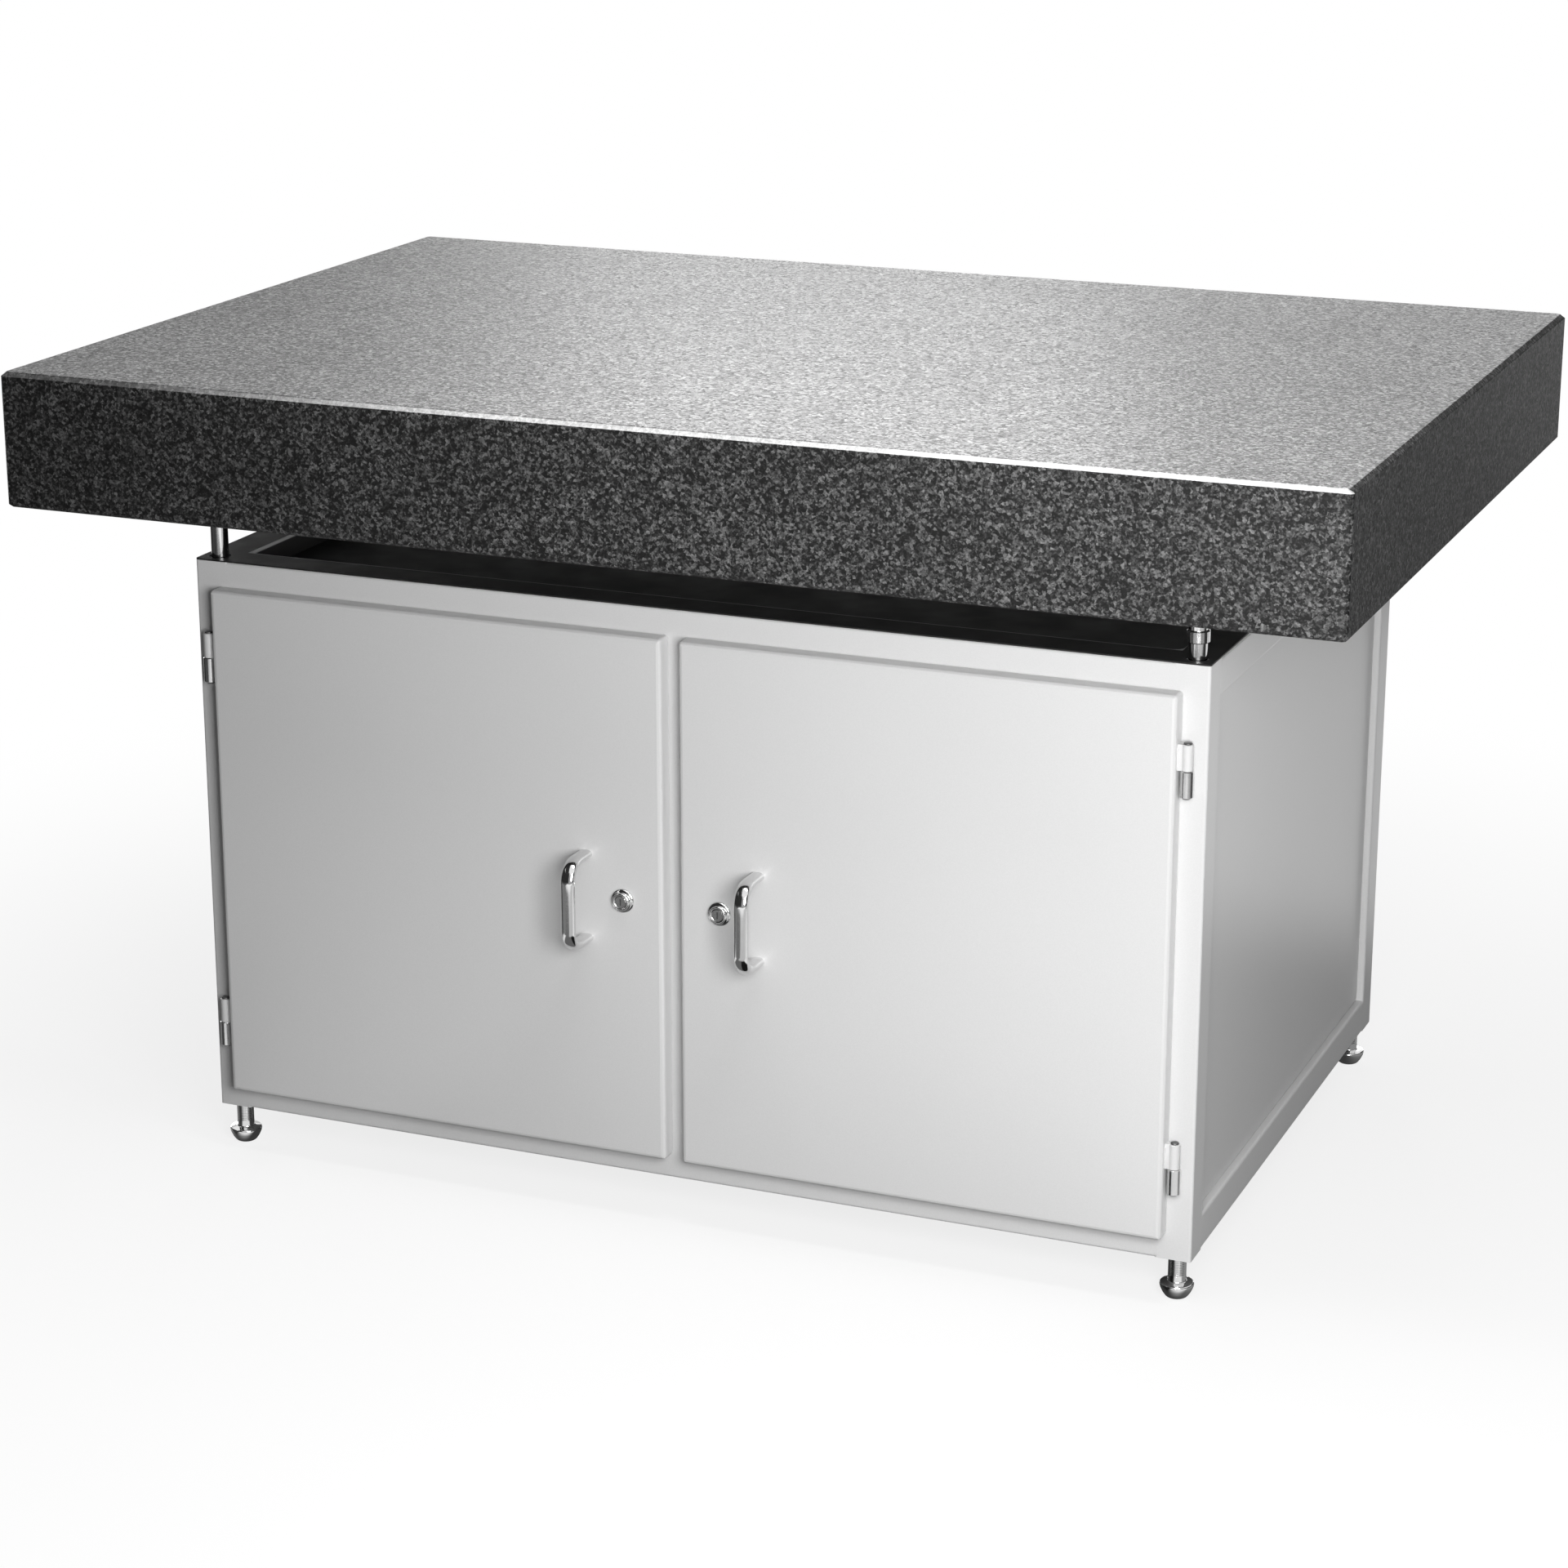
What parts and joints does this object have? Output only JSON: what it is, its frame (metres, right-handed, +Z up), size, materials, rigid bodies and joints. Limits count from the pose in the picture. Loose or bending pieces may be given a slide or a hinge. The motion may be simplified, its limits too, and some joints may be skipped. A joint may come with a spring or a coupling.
{
  "type": "granite surface plate with cabinet",
  "caption": "Thick rectangular granite surface plate carried on jack screws above a grey steel cabinet with two hinged, locking doors, bow handles and screw levelling feet.",
  "frame": {"origin": "on the floor, midway between the plate's ends and between its front and back edges", "axes": "+X along the plate's length to the right as seen from the doors, +Y to the back, +Z up; the doors face -Y"},
  "size_m": [1.5, 1, 0.92],
  "materials": {
    "granite": "fine-grained dark granite with light and dark specks, lapped top and ground sides",
    "enamel": "light grey semi-gloss enamel on folded sheet and square tube",
    "black_tray": "black satin paint",
    "chrome_fittings": "bright chrome plate",
    "zinc_fittings": "bright zinc plate"
  },
  "bodies": {
    "cabinet": {"post_front_left": "enamel", "post_front_right": "enamel", "post_back_left": "enamel", "post_back_right": "enamel", "rail_bottom_front": "enamel", "rail_bottom_back": "enamel", "rail_bottom_left": "enamel", "rail_bottom_right": "enamel", "rail_top_front": "enamel", "rail_top_back": "enamel", "rail_top_left": "enamel", "rail_top_right": "enamel", "mullion": "enamel", "side_panel_left": "enamel", "side_panel_right": "enamel", "back_panel": "enamel", "floor_panel": "enamel", "shelf": "enamel", "shelf_ledge_left": "enamel", "shelf_ledge_right": "enamel", "top_tray": "black_tray", "hinge_left_lower_frame_knuckle": "zinc_fittings", "hinge_left_lower_pin": "zinc_fittings", "hinge_left_upper_frame_knuckle": "zinc_fittings", "hinge_left_upper_pin": "zinc_fittings", "hinge_right_lower_frame_knuckle": "zinc_fittings", "hinge_right_lower_pin": "zinc_fittings", "hinge_right_upper_frame_knuckle": "zinc_fittings", "hinge_right_upper_pin": "zinc_fittings", "lock_left_strike": "zinc_fittings", "lock_right_strike": "zinc_fittings"},
    "plate": {"granite_plate": "granite"},
    "door_left": {"door_left": "enamel", "handle_left": "chrome_fittings", "lock_left_housing": "chrome_fittings", "lock_left_nut": "zinc_fittings", "hinge_left_lower_door_knuckle": "enamel", "hinge_left_upper_door_knuckle": "enamel"},
    "lock_left": {"lock_left_plug": "chrome_fittings", "lock_left_cam": "zinc_fittings"},
    "door_right": {"door_right": "enamel", "handle_right": "chrome_fittings", "lock_right_housing": "chrome_fittings", "lock_right_nut": "zinc_fittings", "hinge_right_lower_door_knuckle": "enamel", "hinge_right_upper_door_knuckle": "enamel"},
    "lock_right": {"lock_right_plug": "chrome_fittings", "lock_right_cam": "zinc_fittings"},
    "foot_front_left": {"foot_front_left": "chrome_fittings"},
    "foot_front_right": {"foot_front_right": "chrome_fittings"},
    "foot_back_left": {"foot_back_left": "chrome_fittings"},
    "foot_back_right": {"foot_back_right": "chrome_fittings"},
    "jack_front_left": {"jack_screw_front_left": "chrome_fittings", "jack_collar_front_left": "zinc_fittings"},
    "jack_front_right": {"jack_screw_front_right": "chrome_fittings", "jack_collar_front_right": "zinc_fittings"},
    "jack_back_left": {"jack_screw_back_left": "chrome_fittings", "jack_collar_back_left": "zinc_fittings"},
    "jack_back_right": {"jack_screw_back_right": "chrome_fittings", "jack_collar_back_right": "zinc_fittings"}
  },
  "joints": [
    {"name": "door_left_hinge", "type": "hinge", "parent": "cabinet", "child": "door_left", "pos_m": [-0.5665, -0.395, 0.375], "axis": [0, 0, -1], "range_deg": [0, 160]},
    {"name": "lock_left_turn", "type": "hinge", "parent": "door_left", "child": "lock_left", "pos_m": [-0.057, -0.406, 0.375], "axis": [0, -1, 0], "range_deg": [0, 90]},
    {"name": "door_right_hinge", "type": "hinge", "parent": "cabinet", "child": "door_right", "pos_m": [0.5665, -0.395, 0.375], "axis": [0, 0, 1], "range_deg": [0, 160]},
    {"name": "lock_right_turn", "type": "hinge", "parent": "door_right", "child": "lock_right", "pos_m": [0.057, -0.406, 0.375], "axis": [0, 1, 0], "range_deg": [0, 90]},
    {"name": "foot_front_left_height", "type": "slide", "parent": "cabinet", "child": "foot_front_left", "axis": [0, 0, 1], "range_m": [-0.03, 0.025]},
    {"name": "foot_front_right_height", "type": "slide", "parent": "cabinet", "child": "foot_front_right", "axis": [0, 0, 1], "range_m": [-0.03, 0.025]},
    {"name": "foot_back_left_height", "type": "slide", "parent": "cabinet", "child": "foot_back_left", "axis": [0, 0, 1], "range_m": [-0.03, 0.025]},
    {"name": "foot_back_right_height", "type": "slide", "parent": "cabinet", "child": "foot_back_right", "axis": [0, 0, 1], "range_m": [-0.03, 0.025]},
    {"name": "plate_height", "type": "slide", "parent": "cabinet", "child": "plate", "axis": [0, 0, 1], "range_m": [-0.01, 0.015]},
    {"name": "jack_front_left_height", "type": "slide", "parent": "cabinet", "child": "jack_front_left", "axis": [0, 0, 1], "range_m": [-0.01, 0.015]},
    {"name": "jack_front_right_height", "type": "slide", "parent": "cabinet", "child": "jack_front_right", "axis": [0, 0, 1], "range_m": [-0.01, 0.015]},
    {"name": "jack_back_left_height", "type": "slide", "parent": "cabinet", "child": "jack_back_left", "axis": [0, 0, 1], "range_m": [-0.01, 0.015]},
    {"name": "jack_back_right_height", "type": "slide", "parent": "cabinet", "child": "jack_back_right", "axis": [0, 0, 1], "range_m": [-0.01, 0.015]}
  ],
  "couplings": [
    {"joint": "jack_front_left_height", "follows": "plate_height", "ratio": 1},
    {"joint": "jack_front_right_height", "follows": "plate_height", "ratio": 1},
    {"joint": "jack_back_left_height", "follows": "plate_height", "ratio": 1},
    {"joint": "jack_back_right_height", "follows": "plate_height", "ratio": 1}
  ]
}
